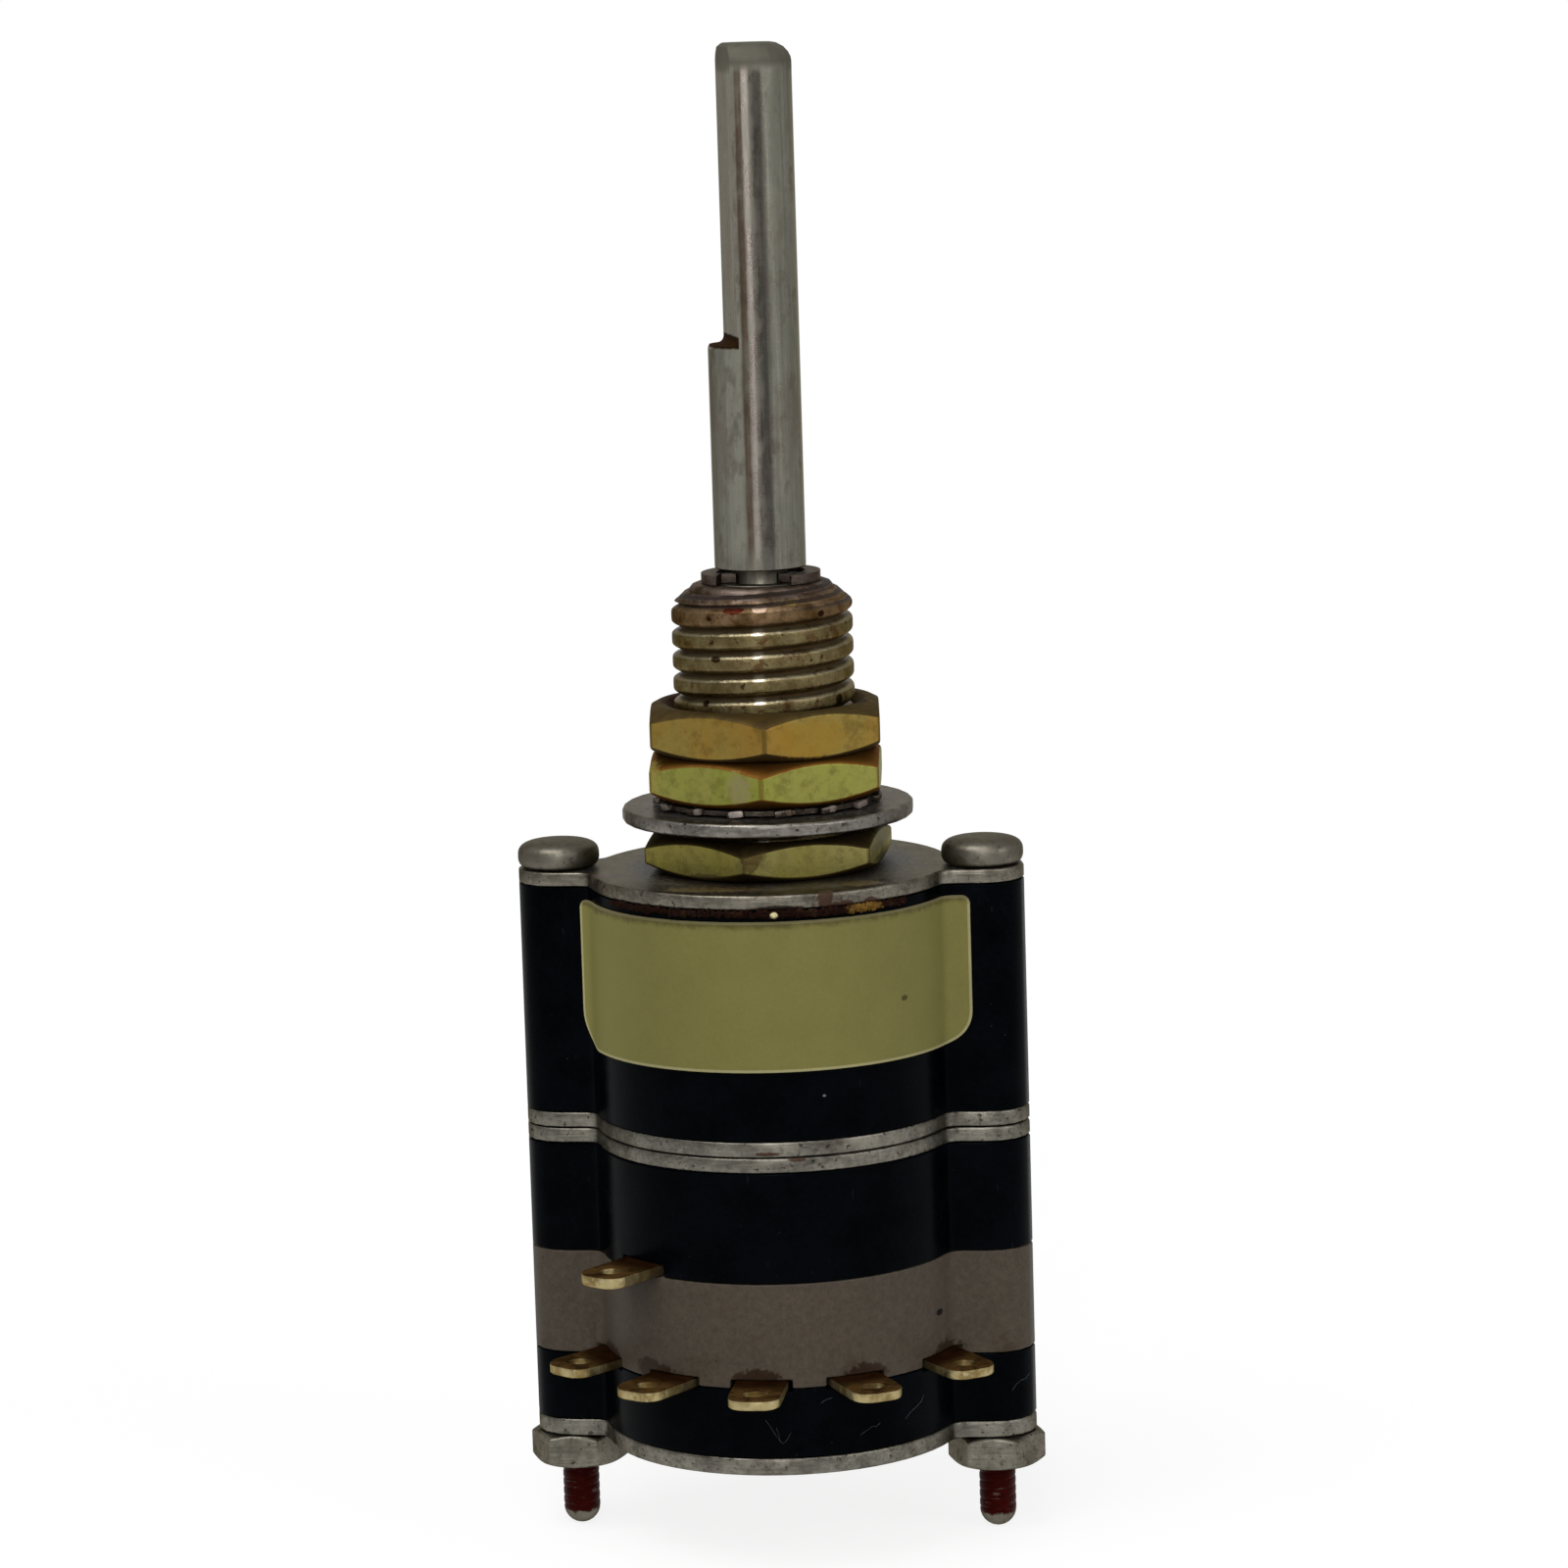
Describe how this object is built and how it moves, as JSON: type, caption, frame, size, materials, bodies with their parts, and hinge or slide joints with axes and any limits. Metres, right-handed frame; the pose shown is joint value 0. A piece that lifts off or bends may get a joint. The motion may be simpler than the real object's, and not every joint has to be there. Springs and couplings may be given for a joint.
{
  "type": "rotary switch",
  "caption": "Miniature panel-mount rotary switch: flatted shaft in a threaded bushing, a detent housing and a switch deck with solder lugs, clamped by two tie bolts.",
  "frame": {"origin": "on the shaft's axis, in the top plate's upper face, where the bushing that holds the switch leaves the stack", "axes": "+Z along the shaft, away from the deck; -Y is the front, which carries the label; X runs through the two tie bolts"},
  "size_m": [0.0184, 0.0176, 0.0523],
  "materials": {
    "plate_steel": "dull plated steel with fine scratches",
    "shaft_steel": "turned, greenish grey",
    "dark_spring_steel": "dark phosphated spring steel",
    "bushing_nickel": "nickel-plated brass, tarnished warm grey",
    "yellow_zinc": "yellow passivated plating with a greenish cast",
    "gold_plate": "thin gold over brass, darkened",
    "black_moulding": "glossy black thermoset",
    "grey_moulding": "mottled taupe thermoset",
    "natural_moulding": "natural acetal",
    "label_film": "matt yellow-green printed film, left bare"
  },
  "bodies": {
    "body": {"top_plate": "plate_steel", "bushing": "bushing_nickel", "depth_nut": "yellow_zinc", "flat_washer": "plate_steel", "lock_washer": "dark_spring_steel", "panel_nut_lower": "yellow_zinc", "panel_nut_upper": "yellow_zinc", "detent_housing": "black_moulding", "label": "label_film", "thrust_washer": "dark_spring_steel", "stop_pin": "shaft_steel", "divider_plate_upper": "plate_steel", "divider_plate_lower": "plate_steel", "upper_wafer": "black_moulding", "common_terminal": "gold_plate", "spacer_wafer": "grey_moulding", "terminal_01": "gold_plate", "terminal_02": "gold_plate", "terminal_03": "gold_plate", "terminal_04": "gold_plate", "terminal_05": "gold_plate", "terminal_06": "gold_plate", "terminal_07": "gold_plate", "terminal_08": "gold_plate", "terminal_09": "gold_plate", "terminal_10": "gold_plate", "lower_wafer": "black_moulding", "bottom_plate": "plate_steel", "tie_bolt_left": "plate_steel", "tie_bolt_right": "plate_steel", "tie_nut_left": "plate_steel", "tie_nut_right": "plate_steel"},
    "rotor": {"shaft": "shaft_steel", "retaining_ring": "dark_spring_steel", "detent_rotor": "natural_moulding", "detent_ball_front": "shaft_steel", "detent_ball_back": "shaft_steel", "detent_spring_front": "dark_spring_steel", "detent_spring_back": "dark_spring_steel", "contact_rotor": "grey_moulding", "wiper": "gold_plate"}
  },
  "joints": [
    {"name": "shaft_turn", "type": "hinge", "parent": "body", "child": "rotor", "pos_m": [0, 0, 0], "axis": [0, 0, 1], "range_deg": [-144, 180]}
  ]
}
